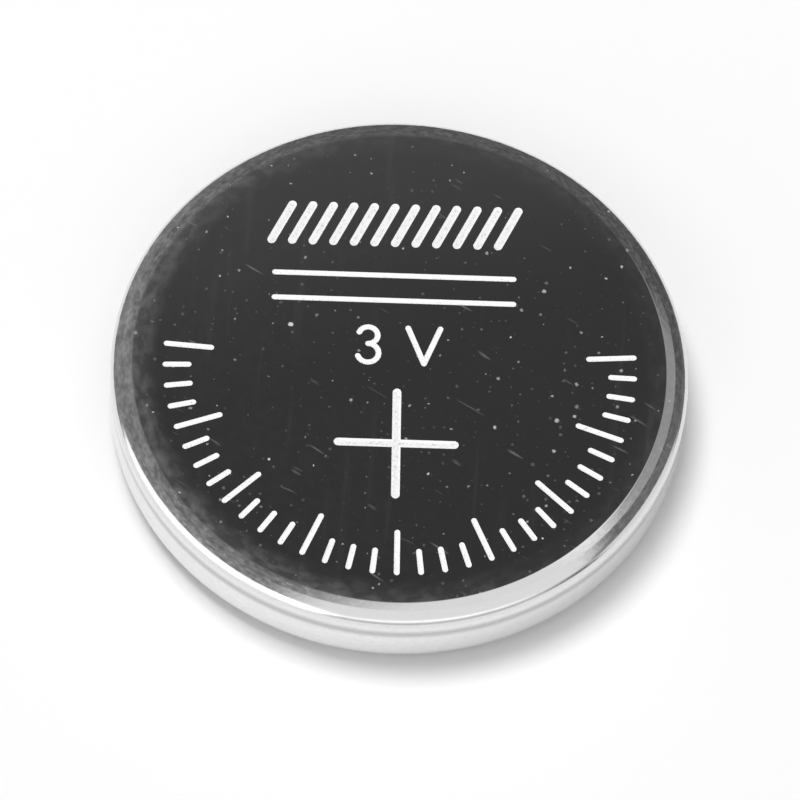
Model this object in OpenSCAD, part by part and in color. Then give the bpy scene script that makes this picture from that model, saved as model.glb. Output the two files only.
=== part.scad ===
// Lithium coin cell, 20 mm across and 3.2 mm thick, as the assembly that comes out of the crimping press.
// It lies on its negative cap: Z points up to the polished positive face, and the origin is the centre of
// the negative contact. Every round piece is a half section in the X-Y plane, X as radius and Y as height,
// turned about Z. The crimped seal is drawn from two nested forms: the case pulled in by its own sheet, and
// the cap's outside. The gasket is what lies between them, so it always fills the seal face to face.

/* [Cell] */
// Diameter over the case
cell_d = 20; // [18:0.5:24.5]
// Height from contact to contact
cell_h = 3.2; // [2.8:0.1:5]

/* [Positive can] */
// Sheet of the deep-drawn case
can_wall = 0.25; // [0.2:0.05:0.3]
// Width of the shallow crown round the contact face
crown_w = 0.3; // [0.2:0.05:0.35]
// Width of the steeper neck between the crown and the shoulder
neck_w = 0.25; // [0.15:0.05:0.3]
// Outside radius of the shoulder between neck and wall
shoulder_r = 0.4; // [0.35:0.05:0.5]
// Outside radius of the crimp at the foot of the wall
crimp_r = 0.8; // [0.7:0.05:0.9]
// Height of the crimped lip above the negative contact
lip_rise = 0.2; // [0.1:0.05:0.3]
// How far the lip reaches in from the outside of the wall
lip_reach = 1.1; // [1:0.05:1.2]

/* [Negative cap] */
// Sheet of the drawn cap
cap_wall = 0.25; // [0.2:0.05:0.3]
// Outside radius of the edge of the contact
cap_edge_r = 0.4; // [0.3:0.05:0.45]
// Radius in the corner where the cap's wall turns out into its flange
cap_foot_r = 0.2; // [0.1:0.05:0.2]
// Outside radius where the flange turns into the skirt
cap_heel_r = 0.35; // [0.3:0.05:0.4]
// Width of the flange, from the cap's wall to the skirt
flange_w = 0.66; // [0.6:0.01:0.9]
// Gap inside the folded skirt
fold_gap = 0.04; // [0.02:0.01:0.06]
// Height of the folded edge above the centre of the crimp
fold_edge_rise = 0.15; // [0.1:0.05:0.4]

/* [Sealing gasket] */
// Thickness between the case and the folded skirt
gasket_wall = 0.3; // [0.25:0.05:0.35]
// Thickness between the fold and the case's floor
gasket_base = 0.4; // [0.3:0.05:0.5]
// Thickness of the collar inside the skirt
collar_wall = 0.25; // [0.15:0.05:0.3]
// Length of the collar along the skirt
collar_h = 0.65; // [0.3:0.05:0.8]
// Width of gasket that shows inside the lip
gasket_show = 0.2; // [0.05:0.05:0.2]

/* [Electrodes] */
// Thickness of the lithium disc
anode_t = 0.6; // [0.4:0.05:0.7]
// Margin between the lithium disc and the cap's wall
anode_margin = 0.5; // [0.3:0.05:1]
// Thickness of the separator felt
separator_t = 0.2; // [0.1:0.05:0.3]
// Clearance between the separator cup and the cap's wall
separator_clear = 0.1; // [0.05:0.05:0.3]
// Height of the separator cup
separator_h = 1.4; // [1:0.05:1.5]
// Clearance between the separator cup and the cathode's ring
ring_clear = 0.05; // [0.02:0.01:0.1]
// Height of the ring round the cathode pellet
ring_h = 1.05; // [0.5:0.05:1.2]
// Width of the ring's leg on the case's floor
ring_leg = 0.75; // [0.4:0.05:1.5]
// Steel sheet of the ring and the collector mesh
collector_t = 0.15; // [0.1:0.05:0.2]
// Chamfer on the pellet's free edge
pellet_chamfer = 0.2; // [0.05:0.05:0.4]

/* [Collector mesh] */
// Clearance between the mesh and the ring's leg
mesh_clear = 0.1; // [0.05:0.05:0.3]
// Solid border round the mesh
mesh_border = 0.35; // [0.2:0.05:1]
// Long way of one diamond opening's cell
mesh_long = 2.1; // [1.8:0.1:4]
// Short way of one diamond opening's cell
mesh_short = 1.2; // [1.2:0.1:3]
// Width of a strand
mesh_strand = 0.2; // [0.1:0.02:0.3]

/* [Hidden] */
$fn = 128;

// Directions square to the face, the crown and the neck. The crown falls in the proportions of a 9-40-41
// triangle and the neck in those of a 5-12-13 triangle. The shoulder takes over where its own surface falls
// in those of an 8-15-17 triangle, which leaves a faint edge at the neck's foot.
face_dir = [0, 1];
crown_dir = [9, 40] / 41;
neck_dir = [5, 12] / 13;
shoulder_dir = [8, 15] / 17;

// Corner between two slopes of a half section, when both are pulled in by d.
function inset(corner, d, first_dir, second_dir) =
    corner - d * (first_dir + second_dir) / (1 + first_dir * second_dir);

// Case
cell_r = cell_d / 2;
neck_foot_r = cell_r - shoulder_r + shoulder_r * shoulder_dir[0];
neck_top = [neck_foot_r - neck_w, cell_h - crown_w * crown_dir[0] / crown_dir[1]];
neck_foot_z = neck_top[1] - neck_w * neck_dir[0] / neck_dir[1];
face_corner = [neck_top[0] - crown_w, cell_h];
shoulder_at = [cell_r - shoulder_r, neck_foot_z - shoulder_r * shoulder_dir[1]];
crimp_at = [cell_r - crimp_r, lip_rise + crimp_r];
lip_r = cell_r - lip_reach;
floor_z = cell_h - can_wall;

// Cap
skirt_r = cell_r - can_wall - gasket_wall - cap_wall - fold_gap;
cap_r = skirt_r - flange_w;
flange_z = lip_rise + can_wall + gasket_wall;
cap_edge_at = [cap_r - cap_edge_r, cap_edge_r];
cap_foot_at = [cap_r + cap_foot_r, flange_z - cap_foot_r];
cap_heel_at = [skirt_r - cap_heel_r, flange_z + cap_heel_r];
fold_r = cap_wall + fold_gap / 2;
fold_at = [skirt_r + fold_gap / 2, floor_z - gasket_base - fold_r];
fold_edge_z = crimp_at[1] + fold_edge_rise;

// Gasket
collar_r = skirt_r - cap_wall - collar_wall;

// Electrodes, stacked from the cap's inside up to the case's floor
anode_r = cap_r - cap_wall - anode_margin;
separator_z = cap_wall + anode_t;
separator_r = cap_r - cap_wall - separator_clear;
pellet_z = separator_z + separator_t;
pellet_top_z = floor_z - collector_t;
ring_r = separator_r - separator_t - ring_clear;
pellet_r = ring_r - collector_t;
leg_r = ring_r - ring_leg;
mesh_r = leg_r - mesh_clear;

// Rectangle of a half section, from its low inner corner to its high outer corner.
module block(low, high) {
    translate(low) square(high - low);
}

// Round end of a half section, kept where it lies outside its centre and above or below it.
module quarter(at, r, up) {
    intersection() {
        translate(at) circle(r = r);
        translate(at) translate([0, up ? 0 : -r]) square(r);
    }
}

// Outer form of the case, filled, with its surface pulled in by d.
module can_form(d) {
    neck_end = [cell_r, neck_top[1] - (cell_r - neck_top[0]) * neck_dir[0] / neck_dir[1]];

    intersection() {
        // Cup: room under the slopes, shoulder, wall, crimp and lip
        union() {
            block([0, shoulder_at[1]], [shoulder_at[0] + (shoulder_r - d) * neck_dir[0], cell_h]);
            quarter(shoulder_at, shoulder_r - d, true);
            block([0, crimp_at[1]], [cell_r - d, shoulder_at[1]]);
            quarter(crimp_at, crimp_r - d, false);
            block([0, lip_rise + d], [crimp_at[0], crimp_at[1]]);
        }
        // Slopes: neck, crown and contact face
        polygon([
            [0, 0],
            [cell_r, 0],
            neck_end - [0, d / neck_dir[1]],
            inset(neck_top, d, crown_dir, neck_dir),
            inset(face_corner, d, face_dir, crown_dir),
            [0, cell_h - d]
        ]);
    }
}

// Outer form of the cap up to its fold, filled, with its surface pulled in by d.
module cap_form(d) {
    // Contact and its edge
    block([0, d], [cap_edge_at[0], cap_edge_at[1]]);
    quarter(cap_edge_at, cap_edge_r - d, false);
    // Wall, and the corner where it turns out
    block([0, cap_edge_at[1]], [cap_r - d, cap_heel_at[1]]);
    difference() {
        block([cap_r - d, cap_foot_at[1]], [cap_foot_at[0], cap_heel_at[1]]);
        translate(cap_foot_at) circle(r = cap_foot_r + d);
    }
    // Flange, heel and skirt
    block([cap_foot_at[0], flange_z + d], [cap_heel_at[0], cap_heel_at[1]]);
    quarter(cap_heel_at, cap_heel_r - d, false);
    block([0, cap_heel_at[1]], [skirt_r - d, fold_at[1]]);
}

// Outside of the folded skirt: its turn and the layer that comes back down.
module fold_form(d) {
    intersection() {
        translate(fold_at) circle(r = fold_r - d);
        translate(fold_at) translate([-fold_r, 0]) square([2 * fold_r, fold_r]);
    }
    block([fold_at[0] - fold_r + d, fold_edge_z], [fold_at[0] + fold_r - d, fold_at[1]]);
}

// Deep-drawn stainless case, its rim crimped in under the gasket.
module positive_can() {
    color("silver")
    rotate_extrude()
    difference() {
        can_form(0);
        can_form(can_wall);
        block([0, 0], [lip_r, crimp_at[1]]);
    }
}

// Drawn stainless cap whose skirt is folded back on itself to stiffen the seal.
module negative_cap() {
    color("lightgray")
    rotate_extrude()
    difference() {
        union() {
            cap_form(0);
            fold_form(0);
        }
        cap_form(cap_wall);
        block([0, fold_at[1]], [skirt_r - cap_wall, floor_z]);
        fold_form(cap_wall);
    }
}

// Moulded ring of J section, pressed between the case and the cap all the way round the fold.
module sealing_gasket() {
    color("ivory")
    rotate_extrude() {
        difference() {
            can_form(can_wall);
            cap_form(0);
            fold_form(0);
            block([0, 0], [lip_r - gasket_show, crimp_at[1]]);
            block([0, fold_at[1]], [collar_r, floor_z]);
        }
        block([collar_r, fold_at[1] - collar_h], [collar_r + collar_wall, fold_at[1]]);
    }
}

// Punched lithium disc, pressed onto the inside of the cap.
module lithium_anode() {
    color("darkgray")
    translate([0, 0, cap_wall])
    cylinder(r = anode_r, h = anode_t);
}

// Felt cup between the electrodes, its rim turned up round the cathode.
module separator_cup() {
    color("white")
    rotate_extrude() {
        block([0, separator_z], [separator_r - separator_t, pellet_z]);
        quarter([separator_r - separator_t, pellet_z], separator_t, false);
        block([separator_r - separator_t, pellet_z], [separator_r, separator_z + separator_h]);
    }
}

// Pressed pellet of manganese dioxide and carbon, with a chamfered free edge.
module cathode_pellet() {
    color("dimgray")
    rotate_extrude()
    polygon([
        [0, pellet_z],
        [pellet_r - pellet_chamfer, pellet_z],
        [pellet_r, pellet_z + pellet_chamfer],
        [pellet_r, pellet_top_z],
        [0, pellet_top_z]
    ]);
}

// Steel ring of L section that grips the pellet and stands on the case's floor.
module cathode_ring() {
    color("gainsboro")
    rotate_extrude() {
        block([leg_r, pellet_top_z], [pellet_r, floor_z]);
        block([pellet_r, floor_z - ring_h], [ring_r, floor_z]);
    }
}

// Expanded steel mesh between the pellet and the case's floor.
module collector_mesh() {
    cell = [mesh_long / 2, mesh_short / 2];
    hole = cell * (1 - mesh_strand / 2 * norm(cell) / (cell[0] * cell[1]));
    reach = mesh_r - mesh_border;
    columns = ceil(mesh_r / mesh_long);
    rows = ceil(2 * mesh_r / mesh_short);

    color("gray")
    translate([0, 0, pellet_top_z])
    linear_extrude(height = collector_t)
    difference() {
        circle(r = mesh_r);
        for (row = [-rows : rows], column = [-columns : columns]) {
            at = [(column + (row % 2 == 0 ? 0 : 0.5)) * mesh_long, row * cell[1]];
            if (norm([abs(at[0]) + hole[0], at[1]]) < reach && norm([at[0], abs(at[1]) + hole[1]]) < reach)
                translate(at)
                polygon([[-hole[0], 0], [0, -hole[1]], [hole[0], 0], [0, hole[1]]]);
        }
    }
}

positive_can();
negative_cap();
sealing_gasket();
lithium_anode();
separator_cup();
cathode_pellet();
cathode_ring();
collector_mesh();
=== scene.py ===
"""A lithium coin cell, 20 mm by 3.2 mm, lying on its negative cap for a studio picture.

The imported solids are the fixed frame. The case is turned again here as a finer form, because its mirror
needs clean normals and its face carries the coined marks. The other seven pieces keep their solids and
get their finishes.
"""
import logging
import math
from dataclasses import dataclass, field
from enum import Enum

import bmesh
import bpy
from mathutils import Matrix, Vector


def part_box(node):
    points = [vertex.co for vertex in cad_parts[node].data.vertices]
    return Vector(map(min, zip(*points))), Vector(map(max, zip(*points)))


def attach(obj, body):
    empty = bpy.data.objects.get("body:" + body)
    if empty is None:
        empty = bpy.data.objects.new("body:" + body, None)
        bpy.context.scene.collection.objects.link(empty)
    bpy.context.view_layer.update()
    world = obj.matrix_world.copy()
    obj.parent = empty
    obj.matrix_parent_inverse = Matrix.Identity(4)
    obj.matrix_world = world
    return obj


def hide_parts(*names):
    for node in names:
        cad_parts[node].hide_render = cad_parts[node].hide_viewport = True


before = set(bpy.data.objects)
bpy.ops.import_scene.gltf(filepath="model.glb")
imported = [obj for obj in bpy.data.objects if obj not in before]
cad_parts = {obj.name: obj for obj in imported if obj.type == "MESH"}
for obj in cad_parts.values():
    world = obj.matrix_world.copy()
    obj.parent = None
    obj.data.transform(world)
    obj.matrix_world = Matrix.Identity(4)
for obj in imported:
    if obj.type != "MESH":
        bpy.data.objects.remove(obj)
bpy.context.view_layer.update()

logging.basicConfig(level=logging.INFO, format="%(levelname)s %(message)s")
log = logging.getLogger("coin_cell")

MM = 0.001
Point = tuple[float, float]
Stroke = tuple[list[Point], float]
Tree = bpy.types.NodeTree
Node = bpy.types.Node
# What can be joined to an input: an output, or a node that stands for its first output.
Signal = bpy.types.NodeSocket | Node


def linear(hex_colour: str) -> tuple[float, float, float, float]:
    """Turn an sRGB hex colour into linear light.

    Args:
        hex_colour: six hex digits, such as "c8c8ca".

    Returns:
        Red, green, blue and alpha for a shader's socket.
    """
    channels = [int(hex_colour[i:i + 2], 16) / 255 for i in (0, 2, 4)]
    red, green, blue = [c / 12.92 if c <= 0.04045 else ((c + 0.055) / 1.055) ** 2.4 for c in channels]
    return red, green, blue, 1.0


def add_node(
    tree: Tree, kind: str, inputs: dict[str | int, object] | None = None, **settings: object,
) -> Node:
    """Add one node with its settings and its inputs.

    Args:
        tree: the node tree that takes the node.
        kind: Blender's name of the node type, without the leading ShaderNode.
        inputs: for an input's name or number, what is joined to it or the constant it holds.
        **settings: the node's own attributes.

    Returns:
        The new node.
    """
    node = tree.nodes.new("ShaderNode" + kind)
    for name, value in settings.items():
        setattr(node, name, value)
    set_inputs(tree, node, inputs or {})
    return node


def set_inputs(tree: Tree, node: Node, inputs: dict[str | int, object]) -> None:
    """Join signals to a node's inputs, or set the constants they hold.

    Args:
        tree: the node's tree.
        node: the node.
        inputs: each input's name or number with a signal or a constant.
    """
    for name, value in inputs.items():
        if isinstance(value, Signal):
            output = value.outputs[0] if isinstance(value, Node) else value
            tree.links.new(output, node.inputs[name])
        else:
            node.inputs[name].default_value = value


def towards(azimuth: float, elevation: float) -> Vector:
    """Point in a direction.

    Args:
        azimuth: degrees from +X towards +Y.
        elevation: degrees above the table.

    Returns:
        The direction at length one.
    """
    a, e = math.radians(azimuth), math.radians(elevation)
    return Vector((math.cos(e) * math.cos(a), math.cos(e) * math.sin(a), math.sin(e)))


def link_object(name: str, data: bpy.types.ID) -> bpy.types.Object:
    """Put new data into the scene as an object.

    Args:
        name: the object's name.
        data: its mesh, light or camera.

    Returns:
        The object.
    """
    made = bpy.data.objects.new(name, data)
    bpy.context.scene.collection.objects.link(made)
    return made


@dataclass(frozen=True)
class Finish:
    """What all finishes share: a name, a colour and a principled shader.

    Patterns are laid out in the cell's own coordinates, so one millimetre is one millimetre everywhere.
    """

    name: str
    colour: str

    def material(self) -> bpy.types.Material:
        """Build the finish.

        Returns:
            The node material.
        """
        material = bpy.data.materials.new(self.name)
        material.use_nodes = True
        tree = material.node_tree
        tree.nodes.clear()
        shader = add_node(tree, "BsdfPrincipled", {"Base Color": linear(self.colour)})
        add_node(tree, "OutputMaterial", {"Surface": shader})
        place = add_node(tree, "TexCoord").outputs["Object"]
        self.paint(tree, shader, place)
        return material

    def paint(self, tree: Tree, shader: Node, place: Signal) -> None:
        """Lay the finish's patterns onto its shader.

        Args:
            tree: the material's node tree.
            shader: its principled shader.
            place: coordinates in metres.
        """
        raise NotImplementedError


@dataclass(frozen=True)
class MirrorRolledStainless(Finish):
    """Ferritic stainless sheet, bright-rolled, deep-drawn and handled since.

    The bright roll gives a mirror, so the face is as dark as the room above it. Drawing leaves lines that
    run round the rim and blur it a little. Handling leaves dust, hairlines, faint wipe marks and a haze
    along one side of the rim. A darker grey band is painted into the steel's colour round the wall. That is
    a guess: in the photograph it may be only a reflection.
    """

    name: str = "mirror_rolled_stainless"
    colour: str = "e0e0e1"
    # Colour of the darker grey band painted round the wall.
    grey_band_colour: str = "b4b4b6"
    face_roughness: float = 0.05
    drawn_roughness: float = 0.1
    dust_roughness: float = 0.6
    streak_roughness: float = 0.06
    face_r_mm: float = 9.23
    rim_fade_mm: float = 0.08
    cell_r_mm: float = 10.0
    # Dust lies on what looks up. It starts to settle at this height on the case's shoulder.
    dust_from_z_mm: float = 2.6
    dust_fade_mm: float = 0.3
    dust_patch_mm: float = 4.0
    # Radius of the largest dust grain, how soft and how ragged its edge is. Grains are drawn no finer than
    # 0.05 mm across, or they wouldn't show.
    grain_r_mm: float = 0.1
    grain_edge_mm: float = 0.04
    ragged_mm: float = 0.1
    # Widths of the cells that hold one fine, one faint or one bright grain each.
    fine_dust_mm: float = 0.36
    faint_dust_mm: float = 0.7
    bright_dust_mm: float = 1.9
    # Hairlines are about 0.02 mm wide. They are drawn at 0.06 mm, as finer ones don't show.
    hairline_mm: float = 0.06
    hairline_ratio: float = 8.0
    hairline_turn_deg: float = 62.0
    wipe_mm: float = 0.5
    wipe_ratio: float = 16.0
    haze_mm: float = 0.35
    haze_from_mm: float = 8.3
    haze_to_mm: float = 9.35
    # Draw marks are some 0.01 mm wide. They are drawn at 0.12 mm, as finer ones don't show.
    line_mm: float = 0.12
    # How many times longer than wide the marks along the rim are.
    drawn_out: float = 2.0
    line_depth_mm: float = 0.001
    wave_mm: float = 6.0
    wave_depth_mm: float = 0.02
    # The side where the cell was held, and where across the face the marks of that begin and are full.
    held_side_deg: float = 205.0
    held_from_mm: float = -4.0
    held_to_mm: float = 8.5
    veil_side_deg: float = 110.0
    # Most that each film covers: the veil, the haze, and the rim's marks off the held side and on it.
    veil_cover: float = 0.02
    haze_cover: float = 0.13
    worn_cover: float = 0.05
    held_cover: float = 0.09
    # Height and half width of the darker grey band painted round the wall.
    grey_band_z_mm: float = 2.27
    grey_band_half_mm: float = 0.34

    def paint(self, tree: Tree, shader: Node, place: Signal) -> None:
        """Lay dust, hairlines, haze and drawing lines over the mirror.

        Args:
            tree: the material's node tree.
            shader: its principled shader.
            place: coordinates in metres.
        """
        level = add_node(tree, "VectorMath", {0: place, 1: (1, 1, 0)}, operation="MULTIPLY")
        radius = add_node(tree, "VectorMath", {0: level}, operation="LENGTH").outputs["Value"]
        height = add_node(tree, "SeparateXYZ", {0: place}).outputs["Z"]
        upward = add_node(tree, "MapRange", {
            "Value": height, "From Min": self.dust_from_z_mm * MM,
            "From Max": (self.dust_from_z_mm + self.dust_fade_mm) * MM,
        })
        rim = add_node(tree, "MapRange", {
            "Value": radius, "From Min": self.face_r_mm * MM,
            "From Max": (self.face_r_mm + self.rim_fade_mm) * MM,
        })

        grains = self.grains(tree, level)
        dust = add_node(tree, "Math", {0: grains, 1: upward}, operation="MULTIPLY")
        along_rim = self.along_rim(tree, level, radius, height)
        lines = self.ring_lines(tree, along_rim)
        held = self.side(tree, level, self.held_side_deg, self.held_from_mm, self.held_to_mm)
        veil = self.side(tree, level, self.veil_side_deg, 0.0, self.face_r_mm)
        haze = self.haze(tree, along_rim, radius, held)
        film = add_node(tree, "Math", {0: self.hairlines(tree, place), 1: haze}, operation="ADD")
        worn = add_node(tree, "Math", {0: lines, 1: rim}, operation="MULTIPLY")
        dulled = add_node(tree, "MapRange", {
            "Value": held, "To Min": self.worn_cover, "To Max": self.held_cover,
        })
        for share, most in ((veil, self.veil_cover), (worn, dulled)):
            film = add_node(tree, "Math", {0: share, 1: most, 2: film}, operation="MULTIPLY_ADD")
        cover = add_node(tree, "Math", {0: dust, 1: film}, operation="MAXIMUM")
        bare = add_node(tree, "Math", {0: 1.0, 1: cover}, operation="SUBTRACT", use_clamp=True)

        rough = add_node(tree, "MapRange", {
            "Value": rim, "To Min": self.face_roughness, "To Max": self.drawn_roughness,
        })
        for share, more in ((worn, self.streak_roughness), (dust, self.dust_roughness)):
            rough = add_node(tree, "Math", {0: share, 1: more, 2: rough}, operation="MULTIPLY_ADD")

        waves = add_node(tree, "TexNoise", {"Vector": place, "Scale": 1 / (self.wave_mm * MM), "Detail": 1.0})
        swell = add_node(tree, "Bump", {"Height": waves, "Distance": self.wave_depth_mm * MM})
        drawn = add_node(tree, "Bump", {
            "Height": worn, "Strength": 0.5, "Distance": self.line_depth_mm * MM, "Normal": swell,
        })
        # The darker grey band is painted into the base colour at this height, all round the wall.
        off_band = add_node(tree, "Math", {0: height, 1: self.grey_band_z_mm * MM}, operation="SUBTRACT")
        away = add_node(tree, "Math", {0: off_band}, operation="ABSOLUTE")
        on_band = add_node(tree, "MapRange", {
            "Value": away, "From Max": self.grey_band_half_mm * MM, "To Min": 1.0, "To Max": 0.0,
        }, interpolation_type="SMOOTHSTEP")
        steel = add_node(tree, "Mix", {
            0: on_band, 6: linear(self.colour), 7: linear(self.grey_band_colour),
        }, data_type="RGBA").outputs[2]
        set_inputs(tree, shader, {"Base Color": steel, "Metallic": bare, "Roughness": rough, "Normal": drawn})

    def grains(self, tree: Tree, level: Signal) -> Signal:
        """Scatter dust, thicker in some patches than in others.

        Args:
            tree: the material's node tree.
            level: coordinates on the face in metres.

        Returns:
            How much of each point dust covers.
        """
        patch = add_node(tree, "TexNoise", {
            "Vector": level, "Scale": 1 / (self.dust_patch_mm * MM), "Detail": 1.0,
        })
        thick = add_node(tree, "MapRange", {
            "Value": patch, "From Min": 0.35, "From Max": 0.65, "To Min": 0.55, "To Max": 1.0,
        })
        ragged = add_node(tree, "TexNoise", {
            "Vector": level, "Scale": 1 / (self.ragged_mm * MM), "Detail": 1.0,
        })
        shifted = add_node(tree, "VectorMath", {
            0: ragged.outputs["Color"], 1: (self.ragged_mm * MM, self.ragged_mm * MM, 0), 2: level,
        }, operation="MULTIPLY_ADD")
        dust: Signal | float = 0.0
        for width, grain_r, power, low, high in (
            (self.fine_dust_mm, 0.8 * self.grain_r_mm, 2.0, 0.01, 0.12),
            (self.faint_dust_mm, self.grain_r_mm, 2.0, 0.06, 0.5),
            (self.bright_dust_mm, self.grain_r_mm, 1.5, 0.4, 1.0),
        ):
            cells = add_node(tree, "TexVoronoi", {
                "Vector": shifted, "Scale": 1 / (width * MM),
            }, voronoi_dimensions="2D")
            lots = add_node(tree, "SeparateColor", {0: cells.outputs["Color"]})
            lot = add_node(tree, "Math", {0: lots, 1: thick}, operation="MULTIPLY")
            size = add_node(tree, "MapRange", {"Value": lot, "From Min": 0.2, "To Max": grain_r / width})
            inside = add_node(tree, "Math", {0: size, 1: cells}, operation="SUBTRACT")
            edge = add_node(tree, "MapRange", {"Value": inside, "From Max": self.grain_edge_mm / width})
            share = add_node(tree, "Math", {0: lots.outputs[1], 1: power}, operation="POWER")
            cover = add_node(tree, "MapRange", {"Value": share, "To Min": low, "To Max": high})
            layer = add_node(tree, "Math", {0: edge, 1: cover}, operation="MULTIPLY")
            dust = add_node(tree, "Math", {0: dust, 1: layer}, operation="MAXIMUM")
        return dust

    def hairlines(self, tree: Tree, place: Signal) -> Signal:
        """Draw short hairlines and the faint marks of one wipe, all in about one direction.

        Args:
            tree: the material's node tree.
            place: coordinates in metres.

        Returns:
            How much of each point they dull.
        """
        turned = add_node(tree, "Mapping", {
            "Vector": place, "Rotation": (0, 0, math.radians(self.hairline_turn_deg)),
            "Scale": (1, self.hairline_ratio, 1),
        }, vector_type="TEXTURE")
        # What stands out of the noise is a third as wide as its scale
        short = add_node(tree, "TexNoise", {
            "Vector": turned, "Scale": 1 / (3 * self.hairline_mm * MM), "Detail": 0.0,
        })
        sharp = add_node(tree, "MapRange", {
            "Value": short, "From Min": 0.8, "From Max": 0.88, "To Max": 0.12,
        })
        along = add_node(tree, "Mapping", {
            "Vector": place, "Scale": (1, self.wipe_ratio, 1),
        }, vector_type="TEXTURE")
        wipe = add_node(tree, "TexNoise", {"Vector": along, "Scale": 1 / (self.wipe_mm * MM)})
        faint = add_node(tree, "MapRange", {"Value": wipe, "From Min": 0.6, "From Max": 0.75, "To Max": 0.01})
        return add_node(tree, "Math", {0: sharp, 1: faint}, operation="ADD")

    def side(self, tree: Tree, level: Signal, azimuth: float, low: float, high: float) -> Signal:
        """Rise from zero to one across the face, towards one side.

        Args:
            tree: the material's node tree.
            level: coordinates on the face in metres.
            azimuth: the side, in degrees.
            low: where the rise begins, in millimetres from the axis.
            high: where it ends.

        Returns:
            How near each point is to that side.
        """
        lean = add_node(tree, "VectorMath", {
            0: level, 1: tuple(towards(azimuth, 0)),
        }, operation="DOT_PRODUCT")
        return add_node(tree, "MapRange", {
            "Value": lean.outputs["Value"], "From Min": low * MM, "From Max": high * MM,
        }, interpolation_type="SMOOTHSTEP")

    def haze(self, tree: Tree, along_rim: Signal, radius: Signal, held: Signal) -> Signal:
        """Cloud the band inside the rim, mostly on the side where the cell was held.

        Args:
            tree: the material's node tree.
            along_rim: coordinates that run round the cell, in metres.
            radius: distance from the axis in metres.
            held: nearness to the side where the cell was held.

        Returns:
            How much of each point the film covers.
        """
        touched = add_node(tree, "MapRange", {"Value": held, "To Min": 0.2, "To Max": 1.0})
        near = add_node(tree, "MapRange", {
            "Value": radius, "From Min": self.haze_from_mm * MM,
            "From Max": self.haze_to_mm * MM, "To Min": 0.05,
        }, interpolation_type="SMOOTHSTEP")
        cloud = add_node(tree, "TexNoise", {
            "Vector": along_rim, "Scale": 1 / (self.haze_mm * MM), "Roughness": 0.55,
        })
        patch = add_node(tree, "MapRange", {
            "Value": cloud, "From Min": 0.4, "From Max": 0.7, "To Min": 0.3, "To Max": 1.0,
        })
        film = touched
        for share in (near, patch, self.haze_cover):
            film = add_node(tree, "Math", {0: film, 1: share}, operation="MULTIPLY")
        return film

    def along_rim(self, tree: Tree, level: Signal, radius: Signal, height: Signal) -> Signal:
        """Wind coordinates round the cell, shortened along the rim so that a pattern is drawn out that way.

        Args:
            tree: the material's node tree.
            level: coordinates on the face in metres.
            radius: distance from the axis in metres.
            height: height above the table in metres.

        Returns:
            The wound coordinates.
        """
        ring = add_node(tree, "VectorMath", {0: level}, operation="NORMALIZE")
        spread = add_node(tree, "VectorMath", {
            0: ring, "Scale": self.cell_r_mm * MM / self.drawn_out,
        }, operation="SCALE")
        down = add_node(tree, "Math", {0: radius, 1: height}, operation="SUBTRACT")
        lift = add_node(tree, "CombineXYZ", {"Z": down})
        return add_node(tree, "VectorMath", {0: spread, 1: lift}, operation="ADD")

    def ring_lines(self, tree: Tree, along_rim: Signal) -> Signal:
        """Run short dashes round the cell, as the drawing die leaves them.

        Args:
            tree: the material's node tree.
            along_rim: coordinates that run round the cell, in metres.

        Returns:
            The lines' strength at each point.
        """
        noise = add_node(tree, "TexNoise", {"Vector": along_rim, "Scale": 1 / (self.line_mm * MM)})
        return add_node(tree, "MapRange", {"Value": noise, "From Min": 0.4, "From Max": 0.66})


@dataclass(frozen=True)
class CoinedFrost(Finish):
    """Stainless that the coining punch has crushed to a fine frost, so the marks read white.

    The bottom of a groove is painted a little greyer than its flanks, as painted shade. Bare
    steel glints between the crushed grains.
    """

    name: str = "coined_frosted_stainless"
    colour: str = "f6f6f6"
    # Grey painted into the bottom of a groove as shade.
    core_shade_colour: str = "dadada"
    grain_mm: float = 0.06
    relief_mm: float = 0.006
    face_z_mm: float = 3.2
    core_depth_mm: float = 0.045
    core_edge_share: float = 0.7

    def paint(self, tree: Tree, shader: Node, place: Signal) -> None:
        """Crush the surface with a fine grain.

        Args:
            tree: the material's node tree.
            shader: its principled shader.
            place: coordinates in metres.
        """
        grain = add_node(tree, "TexNoise", {"Vector": place, "Scale": 1 / (self.grain_mm * MM)})
        rough = add_node(tree, "MapRange", {"Value": grain, "To Min": 0.4, "To Max": 0.7})
        glints = add_node(tree, "MapRange", {"Value": grain, "From Min": 0.57, "From Max": 0.8})
        frost = add_node(tree, "Bump", {"Height": grain, "Strength": 0.6, "Distance": self.relief_mm * MM})
        height = add_node(tree, "SeparateXYZ", {0: place}).outputs["Z"]
        # The groove's bottom is painted greyer, broken up by the grain: painted shade.
        painted_core_shade = add_node(tree, "MapRange", {
            "Value": height,
            "From Min": (self.face_z_mm - self.core_depth_mm) * MM,
            "From Max": (self.face_z_mm - self.core_edge_share * self.core_depth_mm) * MM,
            "To Min": 1.0,
            "To Max": 0.0,
        })
        patchy_core_shade = add_node(tree, "Math", {0: painted_core_shade, 1: grain}, operation="MULTIPLY")
        white = add_node(tree, "Mix", {
            0: patchy_core_shade, 6: linear(self.colour), 7: linear(self.core_shade_colour),
        }, data_type="RGBA").outputs[2]
        set_inputs(tree, shader, {
            "Base Color": white, "Metallic": glints, "Roughness": rough, "Normal": frost,
        })


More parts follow.
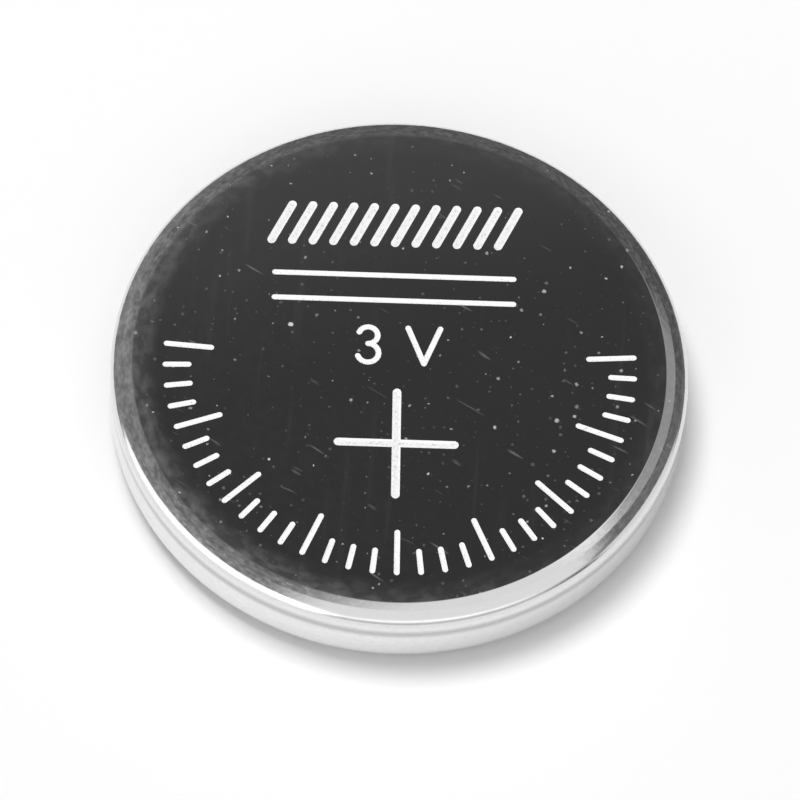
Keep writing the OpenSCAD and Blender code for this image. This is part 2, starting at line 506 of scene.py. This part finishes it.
@dataclass(frozen=True)
class PebbledCapSteel(Finish):
    """Stainless cap stock with a pebbled roll finish, rubbed where contacts have wiped it.

    The pebbles break up reflections into a soft silver grey, and the few wiped marks are a little glossier.
    """

    name: str = "pebbled_cap_steel"
    colour: str = "cccccd"
    pebble_mm: float = 0.16
    relief_mm: float = 0.012
    rub_mm: float = 0.25
    rub_ratio: float = 7.0
    rub_turn_deg: float = 35.0

    def paint(self, tree: Tree, shader: Node, place: Signal) -> None:
        """Lay pebbles and rubbed marks.

        Args:
            tree: the material's node tree.
            shader: its principled shader.
            place: coordinates in metres.
        """
        pebbles = add_node(tree, "TexVoronoi", {
            "Vector": place, "Scale": 1 / (self.pebble_mm * MM), "Smoothness": 0.6,
        }, feature="SMOOTH_F1")
        turned = add_node(tree, "Mapping", {
            "Vector": place, "Rotation": (0, 0, math.radians(self.rub_turn_deg)),
            "Scale": (1, self.rub_ratio, 1),
        }, vector_type="TEXTURE")
        rubs = add_node(tree, "TexNoise", {"Vector": turned, "Scale": 1 / (self.rub_mm * MM), "Detail": 1.0})
        rough = add_node(tree, "MapRange", {
            "Value": rubs, "From Min": 0.6, "From Max": 0.75, "To Min": 0.38, "To Max": 0.3,
        })
        relief = add_node(tree, "Bump", {"Height": pebbles, "Strength": 0.8, "Distance": self.relief_mm * MM})
        set_inputs(tree, shader, {"Metallic": 1.0, "Roughness": rough, "Normal": relief})


@dataclass(frozen=True)
class MouldedPolypropylene(Finish):
    """Natural polypropylene from an injection mould: milky, with a soft sheen from the spark-eroded mould."""

    name: str = "moulded_polypropylene"
    colour: str = "dedcd4"
    cloud_colour: str = "cfccc0"
    grain_mm: float = 0.1
    relief_mm: float = 0.004
    cloud_mm: float = 1.5
    scatter_mm: float = 0.3

    def paint(self, tree: Tree, shader: Node, place: Signal) -> None:
        """Lay the mould's grain and the resin's faint clouds.

        Args:
            tree: the material's node tree.
            shader: its principled shader.
            place: coordinates in metres.
        """
        grain = add_node(tree, "TexNoise", {"Vector": place, "Scale": 1 / (self.grain_mm * MM)})
        clouds = add_node(tree, "TexNoise", {"Vector": place, "Scale": 1 / (self.cloud_mm * MM)})
        milk = add_node(tree, "Mix", {
            0: clouds, 6: linear(self.colour), 7: linear(self.cloud_colour),
        }, data_type="RGBA").outputs[2]
        rough = add_node(tree, "MapRange", {"Value": grain, "To Min": 0.32, "To Max": 0.5})
        relief = add_node(tree, "Bump", {"Height": grain, "Strength": 0.4, "Distance": self.relief_mm * MM})
        set_inputs(tree, shader, {
            "Base Color": milk, "Roughness": rough, "IOR": 1.49, "Normal": relief,
            "Subsurface Weight": 0.2, "Subsurface Scale": self.scatter_mm * MM,
        })


@dataclass(frozen=True)
class RolledLithium(Finish):
    """Lithium foil, rolled and punched in dry air: soft silver with roll lines and dull grey patches."""

    name: str = "rolled_lithium"
    colour: str = "c9cace"
    tarnish_colour: str = "8f9094"
    line_mm: float = 0.08
    relief_mm: float = 0.004
    patch_mm: float = 2.5

    def paint(self, tree: Tree, shader: Node, place: Signal) -> None:
        """Lay roll lines and tarnish.

        Args:
            tree: the material's node tree.
            shader: its principled shader.
            place: coordinates in metres.
        """
        along = add_node(tree, "Mapping", {"Vector": place, "Scale": (1.0, 0.02, 1.0)})
        lines = add_node(tree, "TexNoise", {"Vector": along, "Scale": 1 / (self.line_mm * MM)})
        patches = add_node(tree, "TexNoise", {
            "Vector": place, "Scale": 1 / (self.patch_mm * MM), "Detail": 5.0,
        })
        dull = add_node(tree, "MapRange", {"Value": patches, "From Min": 0.4, "From Max": 0.65})
        tarnish = add_node(tree, "Mix", {
            0: dull, 6: linear(self.colour), 7: linear(self.tarnish_colour),
        }, data_type="RGBA").outputs[2]
        rough = add_node(tree, "MapRange", {"Value": dull, "To Min": 0.3, "To Max": 0.55})
        relief = add_node(tree, "Bump", {"Height": lines, "Strength": 0.5, "Distance": self.relief_mm * MM})
        set_inputs(tree, shader, {
            "Base Color": tarnish, "Metallic": 1.0, "Roughness": rough, "Normal": relief,
        })


@dataclass(frozen=True)
class NonwovenFelt(Finish):
    """Melt-blown polypropylene felt: white, matt, with fibres that run every way."""

    name: str = "nonwoven_felt"
    colour: str = "eeede8"
    # Darker colour for the gaps between the fibres: painted shade.
    shade_colour: str = "c9c8c2"
    # Fibres are 0.01 mm thick. They are drawn as bundles of 0.08 mm, which is the finest that shows.
    fibre_mm: float = 0.08
    relief_mm: float = 0.03

    def paint(self, tree: Tree, shader: Node, place: Signal) -> None:
        """Cross two layers of fibres.

        Args:
            tree: the material's node tree.
            shader: its principled shader.
            place: coordinates in metres.
        """
        layers = []
        for turn in (20.0, 105.0):
            turned = add_node(tree, "Mapping", {
                "Vector": place, "Rotation": (0, 0, math.radians(turn)), "Scale": (1.0, 0.12, 1.0),
            })
            layers.append(add_node(tree, "TexNoise", {
                "Vector": turned, "Scale": 1 / (self.fibre_mm * MM), "Distortion": 0.6,
            }))
        fibres = add_node(tree, "Math", {0: layers[0], 1: layers[1]}, operation="MAXIMUM")
        # The gaps between the fibres are painted darker, as painted shade.
        shade = add_node(tree, "Mix", {
            0: fibres, 6: linear(self.shade_colour), 7: linear(self.colour),
        }, data_type="RGBA").outputs[2]
        relief = add_node(tree, "Bump", {"Height": fibres, "Strength": 0.9, "Distance": self.relief_mm * MM})
        set_inputs(tree, shader, {
            "Base Color": shade, "Roughness": 0.9, "Normal": relief, "Sheen Weight": 0.3,
        })


@dataclass(frozen=True)
class PressedManganeseMass(Finish):
    """Manganese dioxide and carbon, pressed dry: near black, granular, with a few glints of graphite."""

    name: str = "pressed_manganese_mass"
    colour: str = "1c1b1c"
    oxide_colour: str = "2e2c2b"
    granule_mm: float = 0.12
    relief_mm: float = 0.02

    def paint(self, tree: Tree, shader: Node, place: Signal) -> None:
        """Lay granules and graphite.

        Args:
            tree: the material's node tree.
            shader: its principled shader.
            place: coordinates in metres.
        """
        granules = add_node(tree, "TexVoronoi", {"Vector": place, "Scale": 1 / (self.granule_mm * MM)})
        chance = add_node(tree, "SeparateColor", {0: granules.outputs["Color"]})
        mass = add_node(tree, "Mix", {
            0: chance, 6: linear(self.colour), 7: linear(self.oxide_colour),
        }, data_type="RGBA").outputs[2]
        rough = add_node(tree, "MapRange", {
            "Value": chance, "From Min": 0.9, "From Max": 0.95, "To Min": 0.85, "To Max": 0.35,
        })
        relief = add_node(tree, "Bump", {
            "Height": granules, "Strength": 0.8, "Distance": self.relief_mm * MM,
        })
        set_inputs(tree, shader, {"Base Color": mass, "Roughness": rough, "Normal": relief})


@dataclass(frozen=True)
class PressedInnerSteel(Finish):
    """Thin stainless, pressed or slit and stretched: bright, with fine lines across the strip."""

    name: str = "pressed_inner_steel"
    colour: str = "c4c4c6"
    line_mm: float = 0.06
    relief_mm: float = 0.002
    line_turn_deg: float = 0.0
    roughness: float = 0.25

    def paint(self, tree: Tree, shader: Node, place: Signal) -> None:
        """Lay the strip's lines.

        Args:
            tree: the material's node tree.
            shader: its principled shader.
            place: coordinates in metres.
        """
        turned = add_node(tree, "Mapping", {
            "Vector": place, "Rotation": (0, 0, math.radians(self.line_turn_deg)), "Scale": (1.0, 0.03, 1.0),
        })
        lines = add_node(tree, "TexNoise", {
            "Vector": turned, "Scale": 1 / (self.line_mm * MM), "Detail": 3.0,
        })
        rough = add_node(tree, "MapRange", {
            "Value": lines, "To Min": self.roughness, "To Max": self.roughness + 0.2,
        })
        relief = add_node(tree, "Bump", {"Height": lines, "Strength": 0.5, "Distance": self.relief_mm * MM})
        set_inputs(tree, shader, {"Metallic": 1.0, "Roughness": rough, "Normal": relief})


@dataclass(frozen=True)
class CoatedBoard(Finish):
    """White coated board under the cell: matt, with a faint tooth."""

    name: str = "white_coated_board"
    colour: str = "f3f3f3"
    tooth_mm: float = 0.3
    relief_mm: float = 0.01

    def paint(self, tree: Tree, shader: Node, place: Signal) -> None:
        """Lay the board's tooth.

        Args:
            tree: the material's node tree.
            shader: its principled shader.
            place: coordinates in metres.
        """
        tooth = add_node(tree, "TexNoise", {"Vector": place, "Scale": 1 / (self.tooth_mm * MM)})
        relief = add_node(tree, "Bump", {"Height": tooth, "Strength": 0.2, "Distance": self.relief_mm * MM})
        set_inputs(tree, shader, {"Roughness": 0.85, "Normal": relief})


class Pen(Enum):
    """Width in millimetres of a stroke that the coining punch leaves."""

    BROAD = 0.3
    FINE = 0.2


def arc(centre: Point, radius: float, start: float, end: float, steps: int) -> list[Point]:
    """Walk an arc.

    Args:
        centre: its centre.
        radius: its radius.
        start: first angle in degrees.
        end: last angle in degrees.
        steps: number of chords.

    Returns:
        The arc's points, both ends included.
    """
    angles = [math.radians(start + (end - start) * i / steps) for i in range(steps + 1)]
    return [(centre[0] + radius * math.cos(a), centre[1] + radius * math.sin(a)) for a in angles]


def ring_of(bm: bmesh.types.BMesh, points: list[Vector]) -> list[bmesh.types.BMVert]:
    """Add a ring of corners, given in millimetres."""
    return [bm.verts.new(point * MM) for point in points]


def bridge(bm: bmesh.types.BMesh, near: list[bmesh.types.BMVert], far: list[bmesh.types.BMVert]) -> None:
    """Join two rings of equal length with four-cornered faces.

    Args:
        bm: the mesh under way.
        near: the first ring.
        far: the second ring.
    """
    for i in range(len(near)):
        j = (i + 1) % len(near)
        bm.faces.new((near[i], far[i], far[j], near[j]))


def finish_mesh(bm: bmesh.types.BMesh, name: str) -> bpy.types.Object:
    """Turn a closed mesh under way into an object with its faces outwards.

    Args:
        bm: the mesh under way, which is freed.
        name: the object's name.

    Returns:
        The object.
    """
    bmesh.ops.recalc_face_normals(bm, faces=bm.faces)
    data = bpy.data.meshes.new(name)
    bm.to_mesh(data)
    bm.free()
    return link_object(name, data)


@dataclass
class CoinedMarks:
    """The marks coined into the positive face, as strokes of a round-nosed groove.

    Only plain signs are here: the plus sign, the voltage, a scale of ticks, a hatch and two bars. Lengths
    are millimetres on the face, in a frame turned by the angle at which this cell was struck.
    """

    turned_deg: float = 3.2
    depth_share: float = 0.17
    cross_at: Point = (-0.09, -3.09)
    cross_arm: float = 4.0
    voltage_y: float = 0.77
    voltage_h: float = 1.4
    three_x: float = -1.12
    three_upper_r: float = 0.33
    three_lower_r: float = 0.37
    volt_x: float = 0.82
    volt_w: float = 1.12
    hatch_from: Point = (-4.2, 4.85)
    hatch_to: Point = (3.7, 6.3)
    hatch_lean: float = 0.35
    hatch_count: int = 12
    bar_from: float = -4.4
    bar_to: float = 3.9
    bar_heights: tuple[float, ...] = (3.55, 2.55)
    scale_from_deg: float = 176.0
    scale_to_deg: float = 364.0
    scale_count: int = 33
    scale_long_every: int = 4
    scale_outer_r: float = 8.1
    scale_long: float = 1.55
    scale_short: float = 0.8

    def strokes(self) -> list[Stroke]:
        """List every stroke as its path and its width."""
        return self.cross() + self.voltage() + self.hatch() + self.bars() + self.scale()

    def cross(self) -> list[Stroke]:
        """Draw the plus sign.

        Returns:
            Its two strokes.
        """
        x, y = self.cross_at
        half = self.cross_arm / 2
        return [
            ([(x - half, y), (x + half, y)], Pen.BROAD.value),
            ([(x, y - half), (x, y + half)], Pen.BROAD.value),
        ]

    def voltage(self) -> list[Stroke]:
        """Draw the figure three and the letter for volts.

        Returns:
            Two bows and two legs.
        """
        top = self.voltage_y + self.voltage_h / 2
        foot = self.voltage_y - self.voltage_h / 2
        half = self.volt_w / 2
        upper = arc((self.three_x, top - self.three_upper_r), self.three_upper_r, 160, -90, steps=14)
        lower = arc((self.three_x, foot + self.three_lower_r), self.three_lower_r, 90, -160, steps=14)
        left = [(self.volt_x - half, top), (self.volt_x, foot)]
        right = [(self.volt_x + half, top), (self.volt_x, foot)]
        return [(path, Pen.FINE.value) for path in (upper, lower, left, right)]

    def hatch(self) -> list[Stroke]:
        """Draw the row of leaning strokes.

        Returns:
            The strokes from left to right.
        """
        left, low = self.hatch_from
        right, high = self.hatch_to
        pitch = (right - left) / (self.hatch_count - 1)
        lean = self.hatch_lean
        middles = [left + pitch * i for i in range(self.hatch_count)]
        return [([(x - lean, low), (x + lean, high)], Pen.BROAD.value) for x in middles]

    def bars(self) -> list[Stroke]:
        """Draw the plain bars under the hatch."""
        return [([(self.bar_from, y), (self.bar_to, y)], Pen.FINE.value) for y in self.bar_heights]

    def scale(self) -> list[Stroke]:
        """Draw ticks along the lower rim, like a dial's.

        Returns:
            The ticks, every few of them longer.
        """
        ticks = []
        pitch = (self.scale_to_deg - self.scale_from_deg) / (self.scale_count - 1)
        for i in range(self.scale_count):
            length = self.scale_short if i % self.scale_long_every else self.scale_long
            at = towards(self.scale_from_deg + pitch * i, 0)
            inner, outer = at * (self.scale_outer_r - length), at * self.scale_outer_r
            ticks.append(([(inner.x, inner.y), (outer.x, outer.y)], Pen.FINE.value))
        return ticks

    def punches(self, face_z: float) -> list[bpy.types.Object]:
        """Make the tools that strike the strokes.

        Args:
            face_z: height of the face in millimetres.

        Returns:
            One round bar for each stroke, sunk into the face by the groove's depth.
        """
        turn = Matrix.Rotation(math.radians(self.turned_deg), 3, "Z")
        made = []
        for path, width in self.strokes():
            depth = width * self.depth_share
            bar_r = (width * width / 4 + depth * depth) / (2 * depth)
            lift = Vector((0, 0, face_z + bar_r - depth))
            made.append(self.round_bar([turn @ Vector((x, y, 0)) + lift for x, y in path], bar_r))
        return made

    @staticmethod
    def round_bar(path: list[Vector], bar_r: float, sides: int = 40, cap_steps: int = 6) -> bpy.types.Object:
        """Sweep a circle along a level path and close it with round ends.

        Args:
            path: the bar's axis in millimetres.
            bar_r: its radius in millimetres.
            sides: corners of the circle.
            cap_steps: rings in each round end.

        Returns:
            The bar as a closed mesh.
        """
        start = (path[1] - path[0]).normalized()
        end = (path[-1] - path[-2]).normalized()
        tilts = [math.pi / 2 * (i + 0.5) / cap_steps for i in range(cap_steps)]
        stations = [(path[0] - start * bar_r * math.cos(t), bar_r * math.sin(t), start) for t in tilts]
        for i, point in enumerate(path):
            along = (path[min(i + 1, len(path) - 1)] - path[max(i - 1, 0)]).normalized()
            stations.append((point, bar_r, along))
        stations += [(path[-1] + end * bar_r * math.sin(t), bar_r * math.cos(t), end) for t in tilts]

        bm = bmesh.new()
        turns = [2 * math.pi * k / sides for k in range(sides)]
        rings = []
        for centre, radius, along in stations:
            across = Vector((-along.y, along.x, 0)) * radius
            upward = Vector((0, 0, radius))
            rings.append(ring_of(bm, [centre + across * math.cos(a) + upward * math.sin(a) for a in turns]))
        for near, far in zip(rings, rings[1:]):
            bridge(bm, near, far)
        bm.faces.new(rings[0])
        bm.faces.new(rings[-1])
        return finish_mesh(bm, "punch")


@dataclass
class PositiveCase:
    """The deep-drawn case: mirror face with its marks, crown, neck, shoulder, wall and crimped lip.

    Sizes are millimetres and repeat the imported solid's. The half section is walked as points of radius
    and height. Its bends are rounded here, where the solid has plain edges between the slopes. Guard rings
    close to the tangent points keep the flats and the straight wall true.
    """

    cell_r: float
    cell_h: float
    wall: float = 0.25
    crown_w: float = 0.3
    neck_w: float = 0.25
    bend_r: float = 0.3
    shoulder_r: float = 0.4
    crimp_r: float = 0.8
    lip_rise: float = 0.2
    lip_reach: float = 1.1
    lip_edge_r: float = 0.03
    guard_w: float = 0.02
    face_skin: float = 0.0002
    segments: int = 384
    crown_deg: float = math.degrees(math.atan2(9, 40))
    neck_deg: float = math.degrees(math.atan2(5, 12))
    shoulder_deg: float = math.degrees(math.atan2(8, 15))
    marks: CoinedMarks = field(default_factory=CoinedMarks)

    def profile(self) -> list[Point]:
        """Walk the half section from the face's rim down round the lip and back up to the inner floor.

        Returns:
            The section's points in millimetres.
        """
        crown, neck, foot = [math.radians(a) for a in (self.crown_deg, self.neck_deg, self.shoulder_deg)]
        shoulder_at = self.cell_r - self.shoulder_r
        neck_r = shoulder_at + self.shoulder_r * math.sin(foot) - self.neck_w
        neck_top = Vector((neck_r, self.cell_h - self.crown_w * math.tan(crown)))
        face_corner = Vector((neck_r - self.crown_w, self.cell_h))
        face_bend = self.bend_centre(face_corner, self.bend_r, 0, self.crown_deg)
        crown_bend = self.bend_centre(neck_top, self.bend_r, self.crown_deg, self.neck_deg)
        shoulder_z = neck_top.y - (shoulder_at - neck_r) * math.tan(neck) - self.shoulder_r / math.cos(neck)
        shoulder = (shoulder_at, shoulder_z)
        crimp = (self.cell_r - self.crimp_r, self.lip_rise + self.crimp_r)
        lip_r = self.cell_r - self.lip_reach
        edge = self.lip_edge_r

        outside = [(face_bend[0] - self.guard_w, self.cell_h)]
        outside += arc(face_bend, self.bend_r, 90, 90 - self.crown_deg, steps=8)
        outside += arc(crown_bend, self.bend_r, 90 - self.crown_deg, 90 - self.neck_deg, steps=6)
        outside += arc(shoulder, self.shoulder_r, 90 - self.neck_deg, 0, steps=24)
        outside += [(self.cell_r, shoulder_z - self.guard_w), (self.cell_r, crimp[1] + self.guard_w)]
        outside += arc(crimp, self.crimp_r, 0, -90, steps=24)
        outside += arc((lip_r + edge, self.lip_rise + edge), edge, 270, 180, steps=4)
        outside += arc((lip_r + edge, self.lip_rise + self.wall - edge), edge, 180, 90, steps=4)
        inside = arc(crimp, self.crimp_r - self.wall, -90, 0, steps=12)
        inside += arc(shoulder, self.shoulder_r - self.wall, 0, 90 - self.neck_deg, steps=8)
        inside += arc(crown_bend, self.bend_r - self.wall, 90 - self.neck_deg, 90 - self.crown_deg, steps=2)
        inside += arc(face_bend, self.bend_r - self.wall, 90 - self.crown_deg, 90, steps=2)
        inside += [(face_bend[0] - self.guard_w, self.cell_h - self.wall)]
        return outside + inside

    @staticmethod
    def bend_centre(corner: Vector, bend_r: float, first_deg: float, second_deg: float) -> Point:
        """Find the centre of the bend that rounds the corner between two slopes.

        Args:
            corner: where the slopes would meet.
            bend_r: the bend's radius.
            first_deg: fall of the slope before the corner, in degrees.
            second_deg: fall of the slope after it.

        Returns:
            The centre as radius and height.
        """
        falls = [math.radians(a) for a in (first_deg, second_deg)]
        first, second = [Vector((math.sin(a), math.cos(a))) for a in falls]
        centre = corner - (first + second) * bend_r / (1 + first.dot(second))
        return centre.x, centre.y

    def turn(self) -> bpy.types.Object:
        """Turn the half section about the axis into a closed mesh.

        Returns:
            The plain case.
        """
        bm = bmesh.new()
        steps = [2 * math.pi * i / self.segments for i in range(self.segments)]
        rings = [
            ring_of(bm, [Vector((r * math.cos(a), r * math.sin(a), z)) for a in steps])
            for r, z in self.profile()
        ]
        for upper, lower in zip(rings, rings[1:]):
            bridge(bm, upper, lower)
        bm.faces.new(rings[0])
        bm.faces.new(rings[-1])
        return finish_mesh(bm, "case_shell")

    def strike(self, case: bpy.types.Object) -> None:
        """Cut every mark into the face.

        Args:
            case: the turned case, whose mesh is changed.
        """
        for punch in self.marks.punches(self.cell_h):
            cut = case.modifiers.new("groove", "BOOLEAN")
            cut.operation = "DIFFERENCE"
            cut.solver = "MANIFOLD"
            cut.object = punch
            graph = bpy.context.evaluated_depsgraph_get()
            struck = bpy.data.meshes.new_from_object(case.evaluated_get(graph), depsgraph=graph)
            case.modifiers.clear()
            plain, case.data = case.data, struck
            bpy.data.meshes.remove(plain)
            bpy.data.meshes.remove(punch.data)

    def dress(self, case: bpy.types.Object) -> None:
        """Give the case its mirror and the grooves their frost.

        Args:
            case: the struck case.
        """
        case.data.materials.clear()
        case.data.materials.append(MirrorRolledStainless().material())
        case.data.materials.append(CoinedFrost().material())
        low, high = (self.cell_h - self.wall / 2) * MM, (self.cell_h - self.face_skin) * MM
        reach = (self.marks.scale_outer_r + Pen.BROAD.value) * MM
        for face in case.data.polygons:
            at = face.center
            face.material_index = int(low < at.z < high and math.hypot(at.x, at.y) < reach)
            face.use_smooth = True
        case.data.set_sharp_from_angle(angle=math.radians(30))

    def build(self) -> list[str]:
        """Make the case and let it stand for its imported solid.

        Returns:
            A line of report.
        """
        case = self.turn()
        self.strike(case)
        self.dress(case)
        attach(case, "root")
        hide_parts("positive_can")
        faces, strokes = len(case.data.polygons), len(self.marks.strokes())
        return [f"{case.name}: {faces} faces, {strokes} strokes struck"]


@dataclass
class KeptSolids:
    """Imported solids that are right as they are, each with the finish that it gets."""

    label: str
    finishes: dict[str, Finish]

    def build(self) -> list[str]:
        """Dress every solid of the group.

        Returns:
            A line of report for each solid.
        """
        for node, finish in self.finishes.items():
            material = finish.material()
            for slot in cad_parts[node].material_slots:
                slot.material = material
        return [f"{self.label}: {node} dressed in {finish.name}" for node, finish in self.finishes.items()]


@dataclass(frozen=True)
class Cap:
    """Round patch of directions, full near its middle and fading out at its edge."""

    azimuth: float
    elevation: float
    full_deg: float
    gone_deg: float


@dataclass(frozen=True)
class Panel:
    """Soft light in the room, found where all its caps overlap. A negative one is a black flag.

    Mirrors show its strength. Matt surfaces get its strength times matt_share, which no real light does:
    it lets the rim's reflections and the light on the table be set apart. The camera never sees it.
    """

    strength: float
    caps: tuple[Cap, ...]
    matt_share: float = 1.0


@dataclass
class Studio:
    """Pale table, soft room, key light and camera, set as the photograph was taken.

    The camera's place was fitted to the outlines of the face, the wall and the foot. The panels are placed
    by what each part of the rim mirrors in the photograph, and tuned for that view. From the right the
    face mirrors the window and is near white, so the marks hardly show there.
    """

    elevation_deg: float = 60.9
    roll_deg: float = 4.6
    distance: float = 0.25
    pixels_per_mm: float = 28.8
    image_px: int = 800
    centre_px: Point = (398.3, 387.4)
    middle_mm: float = 1.6
    table_half: float = 0.8
    room_grey: float = 0.18
    backdrop: float = 0.95
    key_size: float = 0.3
    key_energy: float = 3.2
    key_distance: float = 0.7
    key_azimuth_deg: float = 140.0
    key_elevation_deg: float = 76.0
    panels: tuple[Panel, ...] = (
        # Ceiling light, which ends over the cell on the left and behind it on the right
        Panel(0.98, (Cap(-31, 0, 88, 100), Cap(221, 0, 111, 118), Cap(0, 90, 55, 75))),
        # Window low on the left
        Panel(1.52, (Cap(213, 19, 38, 42),), matt_share=0.32),
        # Bright wall low in front
        Panel(0.6, (Cap(285, 5, 30, 50),), matt_share=0.0),
        # Bright doorway low on the right
        Panel(0.9, (Cap(358, 12, 14, 24),), matt_share=0.2),
        # Paler wall beyond the ceiling light, which fills the shadow behind the cell
        Panel(0.32, (Cap(50, 58, 11, 17),), matt_share=3.5),
        # Black flags behind and above the cell, which its face mirrors
        Panel(-0.088, (Cap(80, 36, 26, 44),)),
        Panel(-0.05, (Cap(88, 82, 14, 32),)),
    )

    def camera(self) -> None:
        """Place the camera at the photograph's angle."""
        e, roll = math.radians(self.elevation_deg), math.radians(self.roll_deg)
        back = Vector((0, -math.cos(e), math.sin(e)))
        level_up = Vector((0, math.sin(e), math.cos(e)))
        level_right = Vector((1, 0, 0))
        right = level_right * math.cos(roll) + level_up * math.sin(roll)
        up = level_up * math.cos(roll) - level_right * math.sin(roll)
        off_right = (self.image_px / 2 - self.centre_px[0]) / self.pixels_per_mm
        off_up = (self.centre_px[1] - self.image_px / 2) / self.pixels_per_mm
        aim = (Vector((0, 0, self.middle_mm)) + right * off_right + up * off_up) * MM

        data = bpy.data.cameras.new("camera")
        data.sensor_width = 36.0
        data.lens = self.pixels_per_mm / MM * self.distance / self.image_px * data.sensor_width
        data.clip_start = 0.01
        camera = link_object("camera", data)
        turn = Matrix((right, up, back)).transposed().to_4x4()
        turn.translation = aim + back * self.distance
        camera.matrix_world = turn
        bpy.context.scene.camera = camera

    def table(self) -> None:
        """Lay the pale board that the cell lies on."""
        bm = bmesh.new()
        corners = [(-1, -1), (1, -1), (1, 1), (-1, 1)]
        bm.faces.new([bm.verts.new((x * self.table_half, y * self.table_half, 0)) for x, y in corners])
        data = bpy.data.meshes.new("table")
        bm.to_mesh(data)
        bm.free()
        data.materials.append(CoatedBoard().material())
        link_object("table", data)

    def room(self) -> None:
        """Surround the table with a soft room, and show a pale backdrop to the camera itself."""
        world = bpy.data.worlds.new("room")
        bpy.context.scene.world = world
        world.use_nodes = True
        tree = world.node_tree
        tree.nodes.clear()
        way = add_node(tree, "TexCoord").outputs["Generated"]
        rays = add_node(tree, "LightPath").outputs
        grey: Signal | float = self.room_grey
        for panel in self.panels:
            patch: Signal | float = panel.strength
            for cap in panel.caps:
                facing = add_node(tree, "VectorMath", {
                    0: way, 1: tuple(towards(cap.azimuth, cap.elevation)),
                }, operation="DOT_PRODUCT").outputs["Value"]
                edge = add_node(tree, "MapRange", {
                    "Value": facing,
                    "From Min": math.cos(math.radians(cap.gone_deg)),
                    "From Max": math.cos(math.radians(cap.full_deg)),
                }, interpolation_type="SMOOTHSTEP")
                patch = add_node(tree, "Math", {0: edge, 1: patch}, operation="MULTIPLY")
            share = add_node(tree, "MapRange", {
                "Value": rays["Is Diffuse Ray"], "To Min": 1.0, "To Max": panel.matt_share,
            })
            grey = add_node(tree, "Math", {0: patch, 1: share, 2: grey}, operation="MULTIPLY_ADD")
        shown = add_node(tree, "Mix", {
            0: rays["Is Camera Ray"], 2: grey, 3: self.backdrop,
        }, data_type="FLOAT")
        background = add_node(tree, "Background", {"Strength": shown})
        add_node(tree, "OutputWorld", {"Surface": background})

    def key_light(self) -> None:
        """Hang the key light high on the upper left, kept out of the mirrors as by a polarising screen."""
        data = bpy.data.lights.new("key", "AREA")
        data.shape = "DISK"
        data.size = self.key_size
        data.energy = self.key_energy
        light = link_object("key", data)
        away = towards(self.key_azimuth_deg, self.key_elevation_deg)
        light.location = away * self.key_distance
        light.rotation_mode = "QUATERNION"
        light.rotation_quaternion = away.to_track_quat("Z", "Y")
        light.visible_glossy = False

    def build(self) -> list[str]:
        """Set up the whole studio.

        Returns:
            A line of report.
        """
        self.camera()
        self.table()
        self.room()
        self.key_light()
        bpy.context.scene.view_settings.view_transform = "Standard"
        return ["studio: camera, table, room and key light are set"]


def main() -> None:
    """Build the cell piece by piece, then its studio, and report each of them."""
    low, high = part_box("positive_can")
    parts = (
        PositiveCase(cell_r=(high.x - low.x) / 2 / MM, cell_h=high.z / MM),
        KeptSolids("seal", {
            "negative_cap": PebbledCapSteel(),
            "sealing_gasket": MouldedPolypropylene(),
        }),
        KeptSolids("electrodes", {
            "lithium_anode": RolledLithium(),
            "separator_cup": NonwovenFelt(),
            "cathode_pellet": PressedManganeseMass(),
            "cathode_ring": PressedInnerSteel(name="pressed_ring_steel"),
            "collector_mesh": PressedInnerSteel(name="expanded_mesh_steel", line_turn_deg=90, roughness=0.35),
        }),
        Studio(),
    )
    for part in parts:
        for line in part.build():
            log.info(line)


if __name__ == "__main__":
    main()
